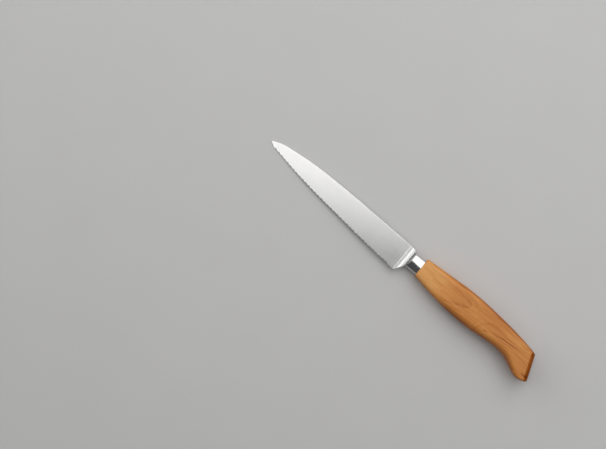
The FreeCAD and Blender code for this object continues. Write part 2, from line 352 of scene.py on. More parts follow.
class Nodes:
    """Wires one node tree."""

    FIRST_COLOUR, SECOND_COLOUR, MIXED_COLOUR = 6, 7, 2  # the Mix node's sockets for colours, by number

    def __init__(self, tree: Tree) -> None:
        """Starts with an empty tree."""
        self.tree = tree
        self.tree.nodes.clear()

    def add(self, kind: str, inputs: dict | None = None, **settings: object) -> bpy.types.Node:
        """Adds a node.

        Args:
            kind: The node's type, without its prefix.
            inputs: What goes into its sockets, by name or number: a value, or another node's output.
            settings: The node's own properties.

        Returns:
            The new node.
        """
        node = self.tree.nodes.new("ShaderNode" + kind)
        for name, value in settings.items():
            setattr(node, name, value)
        for key, value in (inputs or {}).items():
            self.feed(node.inputs[key], value)
        return node

    def feed(self, socket: Socket, value: object) -> None:
        """Fills a socket.

        Args:
            socket: The socket to fill.
            value: An output, which is linked, or the socket's own value.
        """
        if isinstance(value, Socket):
            self.tree.links.new(value, socket)
        else:
            socket.default_value = value

    def calculate(self, operation: str, *terms: Value) -> Socket:
        """Does one step of arithmetic, by the Math node's name for it."""
        return self.add("Math", dict(enumerate(terms)), operation=operation).outputs[0]

    def plus(self, base: Value, value: Value, factor: Value = 1.0) -> Socket:
        """Adds a value, times a factor, to a base."""
        return self.calculate("MULTIPLY_ADD", value, factor, base)

    def minus(self, base: Value, value: Value) -> Socket:
        """Takes a value from a base."""
        return self.calculate("SUBTRACT", base, value)

    def times(self, value: Value, factor: Value) -> Socket:
        """Multiplies a value by a factor."""
        return self.calculate("MULTIPLY", value, factor)

    def stretch(self, vector: Socket, scale: Triple | Socket) -> Socket:
        """Scales a vector by a different amount along each axis."""
        return self.add("VectorMath", {0: vector, 1: scale}, operation="MULTIPLY").outputs[0]

    def noise(self, place: Socket, grain: Grain) -> Socket:
        """Gives noise that is centred on zero.

        Args:
            place: Where it is read, in millimetres.
            grain: Size and detail of its patches.

        Returns:
            The noise, from about -0.5 to 0.5.
        """
        vector = self.stretch(place, grain.scale)
        inputs = {"Vector": vector, "Scale": 1.0, "Detail": grain.detail, "Roughness": grain.roughness}
        return self.minus(self.add("TexNoise", inputs).outputs["Fac"], NOISE_MIDDLE)

    def vary(self, base: Value, place: Socket, grain: Grain) -> Socket:
        """Adds a layer of noise to a base."""
        return self.plus(base, self.noise(place, grain), grain.strength)

    def ease(self, value: Socket, start: float, end: float) -> Socket:
        """Rises smoothly from 0 at the start to 1 at the end."""
        inputs = {"Value": value, "From Min": start, "From Max": end}
        return self.add("MapRange", inputs, interpolation_type="SMOOTHSTEP").outputs[0]

    def ramp(self, factor: Socket, stops: Sequence[tuple[float, Colour]]) -> Socket:
        """Turns a number into a colour.

        Args:
            factor: The number.
            stops: Places from 0 to 1 and their colours.

        Returns:
            The colour's output.
        """
        node = self.add("ValToRGB", {"Fac": factor})
        elements = node.color_ramp.elements
        while len(elements) < len(stops):
            elements.new(1.0)
        for element, (place, colour) in zip(elements, stops):
            element.position = place
            element.color = (*colour, OPAQUE)
        return node.outputs["Color"]

    def mix(self, factor: Socket, first: Colour, second: Colour) -> Socket:
        """Mixes two colours."""
        colours = {self.FIRST_COLOUR: (*first, OPAQUE), self.SECOND_COLOUR: (*second, OPAQUE)}
        return self.add("Mix", {"Factor": factor, **colours}, data_type="RGBA").outputs[self.MIXED_COLOUR]

    def group(self, tree: Tree, inputs: dict) -> bpy.types.Node:
        """Places a group and feeds its inputs."""
        return self.add("Group", inputs, node_tree=tree)

    def surface(self, inputs: dict) -> None:
        """Ends a material in one Principled shader with these inputs."""
        shader = self.add("BsdfPrincipled", inputs)
        self.add("OutputMaterial", {"Surface": shader.outputs[0]})

    def bump(self, height: Socket, depth: float) -> Socket:
        """Gives the normal of a surface that is uneven by about a depth."""
        return self.add("Bump", {"Height": height, "Distance": depth}).outputs[0]

    def object_place(self) -> Socket:
        """Gives the place on the object, in millimetres."""
        return self.stretch(self.add("TexCoord").outputs["Object"], (1 / MM,) * 3)


def new_group(
    name: str, inputs: dict[str, str], outputs: dict[str, str]
) -> tuple[Nodes, bpy.types.Node, bpy.types.Node]:
    """Starts a shader node group.

    Args:
        name: The group's name.
        inputs: Names of its inputs and their kinds.
        outputs: Names of its outputs and their kinds.

    Returns:
        Its nodes, its input node and its output node.
    """
    tree = bpy.data.node_groups.new(name, "ShaderNodeTree")
    for in_out, sockets in (("INPUT", inputs), ("OUTPUT", outputs)):
        for socket, kind in sockets.items():
            tree.interface.new_socket(socket, in_out=in_out, socket_type="NodeSocket" + kind)
    nodes = Nodes(tree)
    start = tree.nodes.new("NodeGroupInput")
    end = tree.nodes.new("NodeGroupOutput")
    return nodes, start, end


def new_material(name: str) -> tuple[Finish, Nodes]:
    """Starts a material.

    Args:
        name: The material's name.

    Returns:
        The material and its empty nodes.
    """
    material = bpy.data.materials.new(name)
    material.use_nodes = True
    return material, Nodes(material.node_tree)


@dataclass(frozen=True)
class WheelLines:
    """The fine lines that a belt or wheel leaves on steel, with faint clouds, which all steels share."""

    detail: float = 5.0
    roughness: float = 0.75
    clouds: Grain = Grain(scale=(0.07, 0.12, 0.12), detail=2.0)

    def group(self) -> Tree:
        """Builds the lines and the clouds.

        Returns:
            A group from a place and a stretch to both, centred on zero.
        """
        nodes, start, end = new_group(
            "wheel_lines", {"Place": "Vector", "Stretch": "Vector"}, {"Lines": "Float", "Clouds": "Float"}
        )
        place = start.outputs["Place"]
        lines = Grain(start.outputs["Stretch"], self.detail, self.roughness)
        nodes.feed(end.inputs["Lines"], nodes.noise(place, lines))
        nodes.feed(end.inputs["Clouds"], nodes.noise(place, self.clouds))
        return nodes.tree


@dataclass(frozen=True)
class Steel:
    """Stainless steel with the lines of its last wheel."""

    name: str
    colour: Colour
    roughness: float
    stretch: Triple  # lines per millimetre along X, Y and Z
    tone: float  # how much the lines vary the roughness
    depth: float  # height of the lines
    cloud_share: float = 0.5  # how much the clouds vary the roughness, as a share of the tone
    contrast: float = 0.6  # how far the lines vary between the dark colour and the full one
    dark_share: float = 0.82  # the dark colour, as a share of the full one

    def material(self, lines: Tree) -> Finish:
        """Builds the material.

        Args:
            lines: The group of wheel lines.

        Returns:
            The finished material.
        """
        material, nodes = new_material(self.name)
        wheel = nodes.group(lines, {"Place": nodes.object_place(), "Stretch": self.stretch}).outputs
        gloss = nodes.plus(self.roughness, wheel["Lines"], self.tone)
        gloss = nodes.plus(gloss, wheel["Clouds"], self.tone * self.cloud_share)
        shade = nodes.plus(NOISE_MIDDLE, wheel["Lines"], self.contrast)
        dark = tuple(self.dark_share * value for value in self.colour)
        nodes.surface(
            {
                "Base Color": nodes.mix(shade, dark, self.colour),
                "Metallic": 1.0,
                "Roughness": gloss,
                "Normal": nodes.bump(wheel["Lines"], self.depth),
            }
        )
        return material


@dataclass(frozen=True)
class LoopLine:
    """One dark line of the wood's cathedral loop, in millimetres."""

    past: float  # distance outside the loop
    half_width: float
    strength: float


@dataclass(frozen=True)
class Streak:
    """One streak of the wood's figure, in millimetres on the handle's side."""

    along: float
    across: float
    slope: float
    reach: float  # from its middle to its ends
    half_width: float
    strength: float  # dark where it is above zero, light below
    bend: float = 0.0  # curvature, per millimetre


LOOP = (
    LoopLine(past=0.0, half_width=0.8, strength=0.26),
    LoopLine(past=-1.5, half_width=1.1, strength=0.16),
    LoopLine(past=-3.2, half_width=0.9, strength=0.12),
)
STREAKS = (
    Streak(along=39.5, across=-2.1, slope=0.1, reach=17.0, half_width=0.75, strength=0.31, bend=-0.002),
    Streak(along=40.5, across=-3.6, slope=0.08, reach=13.0, half_width=0.5, strength=0.15, bend=-0.001),
    Streak(along=44.0, across=2.7, slope=0.03, reach=11.0, half_width=2.2, strength=-0.2),
    Streak(along=55.0, across=-5.4, slope=-0.06, reach=10.0, half_width=0.5, strength=0.15),
    Streak(along=23.6, across=-5.5, slope=0.25, reach=2.6, half_width=1.0, strength=0.25),
    Streak(along=65.0, across=-13.0, slope=-0.2, reach=4.0, half_width=1.6, strength=0.3),
    Streak(along=-31.0, across=2.3, slope=-0.06, reach=9.0, half_width=0.45, strength=0.15),
    Streak(along=-22.0, across=-1.2, slope=-0.12, reach=12.0, half_width=0.5, strength=0.1),
    Streak(along=33.0, across=5.2, slope=-0.08, reach=14.0, half_width=0.6, strength=0.1),
)


@dataclass(frozen=True)
class OliveFigure:
    """The figure of the olive wood, in millimetres: a cathedral loop, drawn-out rings, streaks and fibres.

    Both scales come from one board, so the figure is the same on the two sides. A zone gives where
    something starts and where it is full.
    """

    middle: float  # height of the seam
    tone: float = 0.6  # the wood's usual tone, from 0 for dark to 1 for light
    sway: Grain = Grain(scale=(0.05, 0.16, 0.1), detail=2.0, strength=3.0)  # slow waves of the lines
    ripple: Grain = Grain(scale=(0.2, 0.5, 0.3), detail=2.0, strength=0.7)  # quick ones
    lean: float = 0.35  # how far the lines move across per millimetre of depth
    loop_along: float = 4.9
    loop_across: float = 1.4
    loop_skew: float = 0.15
    loop_bend: float = 0.39
    loop_lines: tuple[LoopLine, ...] = LOOP
    loop_patches: Grain = Grain(scale=(0.16, 0.3, 1.0), detail=1.0)
    patch_zone: Span = (-0.12, 0.14)
    loop_zone: Span = (-15.0, 0.0)
    ring_scale: float = 0.45
    ring_detail: float = 4.0
    ring_roughness: float = 0.62
    ring_strength: float = 0.5
    straight_zone: Span = (8.0, 26.0)  # behind the loop the rings are drawn out into lines
    straight_slope: float = -0.08
    # Painted shade: the wood darkens where its surface rounds in below the flat, more at the spine and the
    # belly.
    round_shade: float = 0.06  # how much the wood darkens per millimetre inside its side
    round_shade_depth: float = 4.5  # down to this depth
    round_shade_limit: float = 0.3  # the most that it darkens
    spine_shade: float = 2.6  # how much more it darkens at the spine
    spine_zone: Span = (0.0, 3.0)
    belly_shade: float = 1.2  # and at the belly
    belly_zone: Span = (-5.0, -9.0)
    taper_start: float = -12.0  # the side falls in ahead of this place
    taper: float = 0.1  # by so much per millimetre
    # Painted sheen: the wood is lighter towards its front end, where the tapered sides face the light.
    front_sheen: float = 0.35  # how much lighter the wood is at its front end
    front_sheen_zone: Span = (0.0, -36.0)
    patches: Grain = Grain(scale=(0.035, 0.09, 0.09), detail=2.0, strength=0.35)
    fibres: Grain = Grain(scale=(0.045, 1.2, 1.2), detail=4.0, roughness=0.65, strength=0.8)
    flecks: Grain = Grain(scale=(0.45, 5.0, 5.0), detail=2.0, strength=-0.16)
    fleck_zone: Span = (0.12, 0.3)
    streaks: tuple[Streak, ...] = STREAKS
    streak_core: float = 0.35  # share of a streak's length at its full strength

    def group(self) -> Tree:
        """Builds the whole figure.

        Returns:
            A group from a place to the wood's tone and the height of its fibres.
        """
        nodes, start, end = new_group(
            "olive_figure", {"Place": "Vector"}, {"Tone": "Float", "Fibres": "Float"}
        )
        along, height, out = nodes.add("SeparateXYZ", {0: start.outputs["Place"]}).outputs
        depth = nodes.calculate("ABSOLUTE", nodes.minus(out, self.middle))
        board = nodes.add("CombineXYZ", {0: along, 1: height, 2: depth}).outputs[0]
        across = nodes.vary(nodes.vary(height, board, self.sway), board, self.ripple)
        across = nodes.plus(across, nodes.minus(depth, self.middle), self.lean)
        distance = self._loop_distance(nodes, along, across)
        fibres = nodes.noise(board, self.fibres)
        flecks = nodes.noise(board, self.flecks)
        tone = nodes.plus(self.tone, self._rings(nodes, along, across, distance), self.ring_strength)
        # painted shade on the rounds
        tone = nodes.minus(tone, self._painted_round_shade(nodes, along, height, depth))
        # painted sheen towards the front end
        tone = nodes.plus(tone, nodes.ease(along, *self.front_sheen_zone), self.front_sheen)
        tone = nodes.vary(tone, board, self.patches)
        tone = nodes.plus(tone, fibres, self.fibres.strength)
        tone = nodes.plus(tone, nodes.ease(flecks, *self.fleck_zone), self.flecks.strength)
        tone = nodes.minus(tone, self._loop(nodes, along, across, distance))
        streak_group = self._streak_group()
        for streak in self.streaks:
            drawn = nodes.group(streak_group, {"x": along, "y": across, **asdict(streak)})
            tone = nodes.minus(tone, drawn.outputs["Dark"])
        nodes.feed(end.inputs["Tone"], tone)
        nodes.feed(end.inputs["Fibres"], nodes.plus(fibres, flecks))
        return nodes.tree

    def _streak_group(self) -> Tree:
        """Builds the group that draws one streak.

        Returns:
            A group from a place and a streak's sizes to how dark the streak is there.
        """
        sizes = ["x", "y", *(field.name for field in fields(Streak))]
        nodes, start, end = new_group("wood_streak", dict.fromkeys(sizes, "Float"), {"Dark": "Float"})
        sent = start.outputs
        along = nodes.minus(sent["x"], sent["along"])
        course = nodes.plus(sent["slope"], along, sent["bend"])
        course = nodes.plus(sent["across"], course, along)
        off = nodes.calculate("ABSOLUTE", nodes.minus(sent["y"], course))
        off_share = nodes.calculate("DIVIDE", off, sent["half_width"])
        along_share = nodes.calculate("DIVIDE", nodes.calculate("ABSOLUTE", along), sent["reach"])
        mask = nodes.times(nodes.ease(off_share, 1.0, 0.0), nodes.ease(along_share, 1.0, self.streak_core))
        nodes.feed(end.inputs["Dark"], nodes.times(mask, sent["strength"]))
        return nodes.tree

    def _loop_distance(self, nodes: Nodes, along: Socket, across: Socket) -> Socket:
        """Measures from the cathedral loop, a parabola that opens towards the blade.

        Args:
            nodes: The figure's nodes.
            along: Place along the handle.
            across: Place across the grain.

        Returns:
            The distance outside the loop.
        """
        past = nodes.minus(along, self.loop_along)
        off = nodes.plus(nodes.minus(across, self.loop_across), past, -self.loop_skew)
        bent = nodes.times(off, self.loop_bend)
        level = nodes.plus(past, bent, off)
        steep = nodes.times(bent, 2.0)
        return nodes.calculate("DIVIDE", level, nodes.calculate("SQRT", nodes.plus(1.0, steep, steep)))

    def _rings(self, nodes: Nodes, along: Socket, across: Socket, distance: Socket) -> Socket:
        """Draws growth rings: loops near the palm swell, and drawn-out lines behind it.

        Args:
            nodes: The figure's nodes.
            along: Place along the handle.
            across: Place across the grain.
            distance: Distance outside the loop.

        Returns:
            The rings' tone, centred on zero.
        """
        straight = nodes.plus(across, along, self.straight_slope)
        behind = nodes.ease(along, *self.straight_zone)
        ring = nodes.plus(distance, nodes.minus(straight, distance), behind)
        inputs = {
            "W": ring,
            "Scale": self.ring_scale,
            "Detail": self.ring_detail,
            "Roughness": self.ring_roughness,
        }
        noise = nodes.add("TexNoise", inputs, noise_dimensions="1D")
        return nodes.minus(noise.outputs["Fac"], NOISE_MIDDLE)

    def _painted_round_shade(self, nodes: Nodes, along: Socket, height: Socket, depth: Socket) -> Socket:
        """Paints shade on the wood where its surface rounds in below the flats, most at the spine and the
        belly.

        Args:
            nodes: The figure's nodes.
            along: Place along the handle.
            height: Height towards the spine.
            depth: Distance from the seam.

        Returns:
            How much darker the wood is.
        """
        ahead = nodes.calculate("MAXIMUM", nodes.minus(self.taper_start, along), 0.0)
        inside = nodes.minus(self.middle, nodes.plus(depth, ahead, self.taper))
        inside = nodes.calculate("MINIMUM", inside, self.round_shade_depth)
        more = nodes.plus(1.0, nodes.ease(height, *self.spine_zone), self.spine_shade)
        more = nodes.plus(more, nodes.ease(height, *self.belly_zone), self.belly_shade)
        dark = nodes.times(nodes.times(inside, more), self.round_shade)
        return nodes.calculate("MINIMUM", dark, self.round_shade_limit)

    def _loop(self, nodes: Nodes, along: Socket, across: Socket, distance: Socket) -> Socket:
        """Draws the dark lines of the cathedral loop, which are patchy and fade along their limbs.

        Args:
            nodes: The figure's nodes.
            along: Place along the handle.
            across: Place across the grain.
            distance: Distance outside the loop.

        Returns:
            How much darker the lines are.
        """
        dark = 0.0
        for line in self.loop_lines:
            off = nodes.calculate("ABSOLUTE", nodes.minus(distance, line.past))
            dark = nodes.plus(dark, nodes.ease(off, line.half_width, 0.0), line.strength)
        spot = nodes.add("CombineXYZ", {0: along, 1: across}).outputs[0]
        patchy = nodes.ease(nodes.noise(spot, self.loop_patches), *self.patch_zone)
        return nodes.times(nodes.times(dark, patchy), nodes.ease(along, *self.loop_zone))


@dataclass(frozen=True)
class OliveWood:
    """Oiled olive wood, along its grain or across it."""

    name: str
    stops: tuple[tuple[float, Colour], ...]  # tones and their colours
    roughness: float
    mirror: float  # share of the light that the oil reflects, 0.5 for a usual varnish
    depth: float  # height of the fibres
    fibre_gloss: float = 0.12  # how much the fibres vary the roughness

    def material(self, figure: Tree) -> Finish:
        """Builds the material.

        Args:
            figure: The group of the wood's figure.

        Returns:
            The finished material.
        """
        material, nodes = new_material(self.name)
        wood = nodes.group(figure, {"Place": nodes.object_place()}).outputs
        nodes.surface(
            {
                "Base Color": nodes.ramp(wood["Tone"], self.stops),
                "Roughness": nodes.plus(self.roughness, wood["Fibres"], self.fibre_gloss),
                "Specular IOR Level": self.mirror,
                "Normal": nodes.bump(wood["Fibres"], self.depth),
            }
        )
        return material


@dataclass(frozen=True)
class Clouded:
    """A plain stuff with faint clouds in it."""

    name: str
    pale: Colour
    deep: Colour
    clouds: Grain
    roughness: float

    def material(self) -> Finish:
        """Builds the material.

        Returns:
            The finished material.
        """
        material, nodes = new_material(self.name)
        shade = nodes.vary(NOISE_MIDDLE, nodes.object_place(), self.clouds)
        nodes.surface({"Base Color": nodes.mix(shade, self.deep, self.pale), "Roughness": self.roughness})
        return material


SATIN = Steel(
    name="satin_steel",
    colour=(0.8, 0.795, 0.785),
    roughness=0.19,
    stretch=(1.1, 0.04, 0.04),
    tone=0.1,
    depth=0.0005 * MM,
)
POLISHED = Steel(
    name="polished_steel",
    colour=(0.82, 0.815, 0.805),
    roughness=0.15,
    stretch=(0.3, 2.0, 2.0),
    tone=0.06,
    depth=0.0006 * MM,
)
GROUND = Steel(
    name="ground_steel",
    colour=(0.8, 0.795, 0.785),
    roughness=0.22,
    stretch=(6.0, 1.0, 1.0),
    tone=0.1,
    depth=0.001 * MM,
)
PIN_WIRE = Steel(
    name="pin_steel",
    colour=(0.7, 0.69, 0.67),
    roughness=0.35,
    stretch=(2.0, 2.0, 0.5),
    tone=0.1,
    depth=0.001 * MM,
)
SIDE_GRAIN = OliveWood(
    name="olive_side_grain",
    stops=(
        (0.0, (0.14, 0.032, 0.009)),
        (0.3, (0.4, 0.12, 0.027)),
        (0.5, (0.58, 0.215, 0.05)),
        (0.72, (0.69, 0.29, 0.078)),
        (1.0, (0.8, 0.41, 0.14)),
    ),
    roughness=0.38,
    mirror=0.22,
    depth=0.015 * MM,
)
END_GRAIN = OliveWood(
    name="olive_end_grain",
    stops=(
        (0.0, (0.15, 0.032, 0.004)),
        (0.5, (0.38, 0.1, 0.015)),
        (1.0, (0.6, 0.21, 0.045)),
    ),
    roughness=0.6,
    mirror=0.0,
    depth=0.03 * MM,
)
RESIN = Clouded(
    name="bedding_resin",
    pale=(0.55, 0.42, 0.24),
    deep=(0.4, 0.28, 0.14),
    clouds=Grain(scale=(0.3, 0.6, 0.6), detail=3.0),
    roughness=0.45,
)
PAPER = Clouded(
    name="pale_floor",
    pale=(0.65, 0.645, 0.635),
    deep=(0.62, 0.615, 0.605),
    clouds=Grain(scale=(0.02, 0.02, 0.02), detail=4.0),
    roughness=0.75,
)


# The blade, forged in one with its neck and tang


@dataclass(frozen=True)
class Oval:
    """A section across the neck or the tang: flat arcs at its sides that run into a round at each end."""

    height: float
    thickness: float
    end_round: float
    side_steps: int = 12
    end_steps: int = 14

    def grown(self, gap: float) -> "Oval":
        """Gives the oval with a gap all round it."""
        return Oval(self.height + 2 * gap, self.thickness + 2 * gap, self.end_round + gap)

    def points(self, x: float, y: float, share: float = 1.0) -> list[Vector]:
        """Walks round the oval.

        Args:
            x: Where along the knife it lies.
            y: Height of its middle.
            share: Its size, as a share of the full one.

        Returns:
            The oval's points.
        """
        half = self.thickness / 2
        reach = self.height / 2 - self.end_round
        side_radius = (reach**2 + half**2 - self.end_round**2) / (2 * (half - self.end_round))
        turn = math.atan2(reach, side_radius - half)
        side_turns = np.linspace(0, turn, self.side_steps, endpoint=False)
        end_turns = np.linspace(turn, math.pi / 2, self.end_steps)
        quarter = arc((0.0, half - side_radius), side_radius, side_turns)
        quarter += arc((reach, 0.0), self.end_round, end_turns)
        upper = quarter + [(up, -out) for up, out in quarter[-2::-1]]
        around = upper + [(-up, out) for up, out in upper[-2:0:-1]]
        return [Vector((x, y + share * up, share * out)) for up, out in around]


@dataclass
class BladeForging:
    """The serrated blade with its flare, oval neck and hidden tang, modelled about the middle plane."""

    tip: float
    handle_front: float
    tang_end: float
    middle: float
    satin: Steel = SATIN
    polish: Steel = POLISHED
    ground: Steel = GROUND
    smooth_angle: float = 32.0
    tip_height: float = 2.3 * MM
    tip_bevel_length: float = 4.9 * MM
    tip_bevel_drop: float = 2.8 * MM
    spine_marks: Marks = ((5.0, 4.5), (16.0, 6.75), (33.0, 8.55), (54.0, 9.2))  # behind the tip, in mm
    edge_marks: Marks = ((29.0, -4.72), (72.0, -9.34), (116.0, -12.94))  # likewise
    spine_height: float = 7.6 * MM
    spine_steps: int = 60
    tip_crowding: float = 1.6
    heel_depth: float = 13.3 * MM
    heel_setback: float = 4.9 * MM
    heel_round: float = 0.4 * MM
    heel_steps: int = 4
    rear_edge_top: float = 1.6 * MM
    rear_edge_bulge: float = 0.5 * MM
    rear_edge_steps: int = 16
    spine_thickness: float = 2.2 * MM
    edge_thickness: float = 0.3 * MM
    tip_thickness: float = 0.5 * MM
    spine_ease: float = 0.24 * MM
    spine_ease_steps: int = 2
    sharp_tip: float = 0.2 * MM  # the spine isn't eased so near its tip
    edge_steps: int = 60
    edge_samples: int = 600  # the serration is measured off along these
    serration_pitch: float = 3.2 * MM
    serration_depth: float = 0.75 * MM
    serration_inset: float = 0.1 * MM
    serration_angle: float = 20.0
    plain_tip: float = -0.2 * MM  # the first scallop reaches a little over the tip's corner
    plain_heel: float = 5.5 * MM
    slope_step: float = 0.5 * MM  # the edge's slope is read this far to both sides of a scallop
    wheel_sides: int = 224
    neck_length: float = 10.0 * MM
    neck: Oval = Oval(height=11.6 * MM, thickness=5.8 * MM, end_round=2.1 * MM)
    neck_nose: float = 2.5 * MM
    neck_nose_share: float = 0.55
    flare_radius: float = 5.4 * MM
    flare_slope: float = 50.0
    flare_steps: int = 20
    ridge_radius: float = 1.8 * MM
    ridge_steps: int = 14
    back_radius: float = 3.0 * MM
    back_length: float = 1.8 * MM
    back_steps: int = 10
    rim_round: float = 0.3 * MM
    rim_length: float = 2.8 * MM
    rim_steps: int = 3
    stock_thickness: float = 8.4 * MM
    shoulder_setback: float = 3.0 * MM
    shoulder_drop: float = 0.5 * MM
    shoulder_bend: float = 2.2
    shoulder_steps: int = 14
    tang_front: Oval = Oval(height=10.6 * MM, thickness=5.2 * MM, end_round=1.9 * MM)
    tang_rear: Oval = Oval(height=5.6 * MM, thickness=3.2 * MM, end_round=1.2 * MM)
    tang_drop: float = 1.2 * MM
    tang_root: float = 2.0 * MM  # how far the tang reaches into the neck
    pin_bore: float = 3.1 * MM
    pin_stations: Span = (-20.0 * MM, 12.0 * MM)
    bore_sides: int = 48

    def __post_init__(self) -> None:
        """Works out the main places and bends the spine and the edge through their marks."""
        slope = math.radians(self.flare_slope)
        turns = self.flare_radius + self.ridge_radius
        self.ridge = self.handle_front - self.neck_length
        self.heel = self.ridge - self.heel_setback
        self.flare_start = self.ridge - turns * math.sin(slope)
        self.flare_rise = turns * (1 - math.cos(slope))
        self.flare_end = self.ridge + self.back_length
        self.shoulder = self.ridge - self.shoulder_setback
        self.edge_start = self.tip + self.tip_bevel_length
        spine, edge = (
            [(self.tip + along * MM, height * MM) for along, height in marks]
            for marks in (self.spine_marks, self.edge_marks)
        )
        corner = (self.edge_start, self.tip_height - self.tip_bevel_drop)
        self.spine = Fairing([(self.tip, self.tip_height), *spine, (self.shoulder, self.spine_height)])
        self.edge = Fairing([corner, *edge, (self.heel, -self.heel_depth)])
        self.plane = self._face_plane()

    def _face_plane(self) -> Triple:
        """Lays a plane through the blade's half thickness at the spine, the heel and the tip.

        Returns:
            The plane's height at the origin, and its slopes along X and Y.
        """
        spine = Vector((self.flare_start, self.spine_height, self.spine_thickness / 2))
        heel = Vector((self.heel, -self.heel_depth, self.edge_thickness / 2))
        tip = Vector((self.tip, self.tip_height, self.tip_thickness / 2))
        normal = (heel - spine).cross(tip - spine)
        slope_x, slope_y = -normal.x / normal.z, -normal.y / normal.z
        return spine.z - slope_x * spine.x - slope_y * spine.y, slope_x, slope_y

    def half_thickness(self, x: float, y: float) -> float:
        """Gives the half thickness of the ground blade at a place on its side."""
        height, slope_x, slope_y = self.plane
        return height + slope_x * x + slope_y * y

    def _outline(self) -> list[Span]:
        """Walks round the blade: spine, shoulder, rear edge, cutting edge.

        Returns:
            Places on its side.
        """
        points = []
        for step in np.linspace(0, 1, self.spine_steps) ** self.tip_crowding:
            x = self.tip + (self.shoulder - self.tip) * step
            points.append((x, self.spine.at(x)))
        fall = self.spine_height - self.neck.height / 2 + self.shoulder_drop
        for step in np.linspace(0, 1, self.shoulder_steps)[1:]:
            x = self.shoulder + (self.flare_end - self.shoulder) * step
            points.append((x, self.spine_height - fall * step**self.shoulder_bend))
        low = Vector((self.flare_end, -self.rear_edge_top))
        heel = Vector((self.heel, -self.heel_depth))
        bulge = Vector((heel.y - low.y, low.x - heel.x)).normalized() * -self.rear_edge_bulge
        for step in np.linspace(0, 1, self.rear_edge_steps):
            points.append(tuple(low.lerp(heel, step) + bulge * (4 * step * (1 - step))))
        for step in np.linspace(1, 0, self.edge_steps)[1:]:
            x = self.edge_start + (self.heel - self.edge_start) * step
            points.append((x, self.edge.at(x)))
        return points

    def _plate(self) -> Piece:
        """Draws out the blade's outline to the thickness of the stock and eases its heel.

        Returns:
            The unground plate.
        """
        half = self.stock_thickness / 2
        outline = self._outline()
        rings = [[Vector((*point, z)) for point in outline] for z in (-half, half)]
        plate = draw_rings("forged_blade", rings)
        heel = Vector((self.heel, -self.heel_depth))
        ease_edges(
            plate,
            lambda edge: all((vertex.co.xy - heel).length < NEAR for vertex in edge.verts),
            self.heel_round,
            self.heel_steps,
        )
        return plate

    def _grind_wheel(self, side: Side) -> Piece:
        """Makes the solid that one side loses: a flat face, the flare's hollow and the round of its ridge.

        Args:
            side: The side that is ground.

        Returns:
            The solid.
        """
        front = self.tip - REACH
        level = self.half_thickness(self.flare_start, -REACH)
        crest = level + self.flare_rise
        slope = math.radians(self.flare_slope)
        fall = math.asin(self.back_length / self.back_radius)
        hollow_turns = np.linspace(math.pi, math.pi - slope, self.flare_steps, endpoint=False)
        ridge_turns = np.linspace(-slope, 0, self.ridge_steps, endpoint=False)
        back_turns = np.linspace(0, fall, self.back_steps)
        profile = [
            (front, self.half_thickness(front, -REACH)),
            *arc((self.flare_start, level + self.flare_radius), self.flare_radius, hollow_turns),
            *arc((self.ridge, crest - self.ridge_radius), self.ridge_radius, ridge_turns),
            *arc((self.ridge, crest - self.back_radius), self.back_radius, back_turns),
            (self.flare_end, level + 2 * REACH),
            (front, level + 2 * REACH),
        ]
        ends = ((-REACH, 0.0), (REACH, 2 * REACH * self.plane[2]))
        rings = [[Vector((x, y, side.value * (z + rise))) for x, z in profile] for y, rise in ends]
        return draw_rings("grind", rings)

    def _on_spine_edge(self, edge: Edge) -> bool:
        """Picks out the edges along the spine of the ground blade.

        Args:
            edge: An edge of the ground blade.

        Returns:
            Whether it runs along one side of the spine.
        """
        for vertex in edge.verts:
            x, y, z = vertex.co
            inside = self.tip + self.sharp_tip < x < self.flare_start
            if not inside or abs(y - self.spine.at(x)) > ON_FACE:
                return False
            if abs(abs(z) - self.half_thickness(x, y)) > ON_FACE:
                return False
        return edge.verts[0].co.z * edge.verts[1].co.z > 0

    def _on_rim(self, edge: Edge) -> bool:
        """Picks out the edges between the ground flare and the blade's outline.

        Args:
            edge: An edge of the ground blade.

        Returns:
            Whether it lies on the flare's rim.
        """
        ahead = min(vertex.co.x for vertex in edge.verts) < self.ridge - self.rim_length
        if ahead or len(edge.link_faces) != 2:
            return False
        upright, sloped = sorted(abs(face.normal.z) for face in edge.link_faces)
        outside = all(abs(face.normal.x) < ENDWAYS for face in edge.link_faces)
        return upright < UPRIGHT and sloped > SLOPED and outside

    def _neck(self) -> Piece:
        """Draws out the oval neck, with a nose that hides in the flare.

        Returns:
            The solid.
        """
        nose = self.neck.points(self.ridge - self.neck_nose, 0.0, self.neck_nose_share)
        stem = [self.neck.points(x, 0.0) for x in (self.ridge, self.handle_front)]
        return draw_rings("neck", [nose, *stem])

    def _tang(self, gap: float, name: str) -> Piece:
        """Draws out the tapered tang, or its pocket.

        Args:
            gap: Gap round the tang.
            name: The new object's name.

        Returns:
            The solid, about the middle plane.
        """
        front = self.tang_front.grown(gap)
        rear = self.tang_rear.grown(gap)
        return draw_rings(
            name,
            [
                front.points(self.handle_front - self.tang_root, 0.0),
                front.points(self.handle_front, 0.0),
                rear.points(self.tang_end + gap, -self.tang_drop),
            ],
        )

    def _bore(self, station: float, length: float) -> Piece:
        """Makes the bore for one pin, across the middle of the tang.

        Args:
            station: Where along the knife it lies.
            length: Its length over both sides.

        Returns:
            The solid, about the middle plane.
        """
        share = (station - self.handle_front) / (self.tang_end - self.handle_front)
        return add(
            bpy.ops.mesh.primitive_cylinder_add,
            vertices=self.bore_sides,
            radius=self.pin_bore / 2,
            depth=length,
            location=(station, -self.tang_drop * share, 0),
        )

    def pocket(self, gap: float, bore_length: float) -> list[Piece]:
        """Makes the solids that the handle loses to the tang and its pins.

        Args:
            gap: Room for the bedding.
            bore_length: Length of the blind bores, over both scales.

        Returns:
            The tools, about the middle plane.
        """
        bores = [self._bore(station, bore_length) for station in self.pin_stations]
        return [self._tang(gap, "pocket"), *bores]

